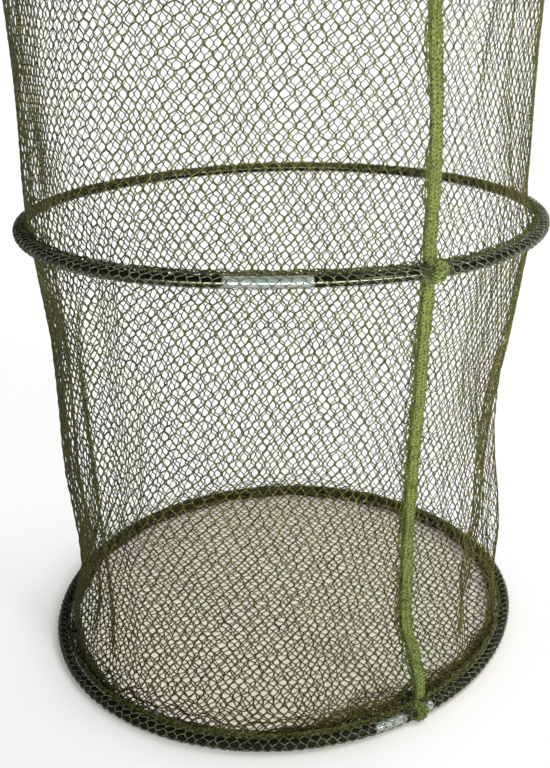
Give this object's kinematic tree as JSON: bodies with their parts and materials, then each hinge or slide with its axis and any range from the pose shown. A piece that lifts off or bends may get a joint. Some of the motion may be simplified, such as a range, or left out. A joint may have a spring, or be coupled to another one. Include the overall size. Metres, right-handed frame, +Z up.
{
  "type": "keep net",
  "caption": "Cylindrical keep net: a knotless net bag on wire hoops, hung by its mouth hoop, with a flat net bottom; its hoops lift so that it folds flat.",
  "frame": {"origin": "middle of the mouth hoop, where the net is held", "axes": "+Z up along the net's axis, -Y the side with the clear joiner of the middle hoop, the front in the picture"},
  "size_m": [0.4094, 0.4094, 0.7221],
  "materials": {
    "galvanised_wire": "dull zinc",
    "black_tube": "glossy extruded PVC",
    "clear_joiner": "clear PVC",
    "net": "knotless twisted nylon mesh, olive",
    "hem_seam": "gathered and overlocked mesh",
    "seam_tape": "knitted green tape"
  },
  "bodies": {
    "mouth_hoop": {"mouth_hoop_wire": "galvanised_wire", "mouth_hoop_tube": "black_tube", "mouth_hoop_joiner": "clear_joiner", "mouth_hem_casing": "net", "mouth_hem_seam": "hem_seam", "mouth_lashing": "seam_tape", "upper_net_wall": "net", "upper_seam_tape": "seam_tape"},
    "middle_hoop": {"middle_hoop_wire": "galvanised_wire", "middle_hoop_tube": "black_tube", "middle_hoop_joiner": "clear_joiner", "middle_hem_casing": "net", "middle_hem_seam": "hem_seam", "middle_lashing": "seam_tape", "lower_net_wall": "net", "lower_seam_tape": "seam_tape"},
    "base_hoop": {"base_hoop_wire": "galvanised_wire", "base_hoop_tube": "black_tube", "base_hoop_joiner": "clear_joiner", "base_hem_casing": "net", "base_hem_seam": "hem_seam", "base_lashing": "seam_tape", "bottom_net": "net"}
  },
  "joints": [
    {"name": "upper_fold", "type": "slide", "parent": "mouth_hoop", "child": "middle_hoop", "axis": [0, 0, 1], "range_m": [0, 0.33], "deforming": ["upper_net_wall", "upper_seam_tape"]},
    {"name": "lower_fold", "type": "slide", "parent": "middle_hoop", "child": "base_hoop", "axis": [0, 0, 1], "range_m": [0, 0.33], "deforming": ["lower_net_wall", "lower_seam_tape"]}
  ]
}
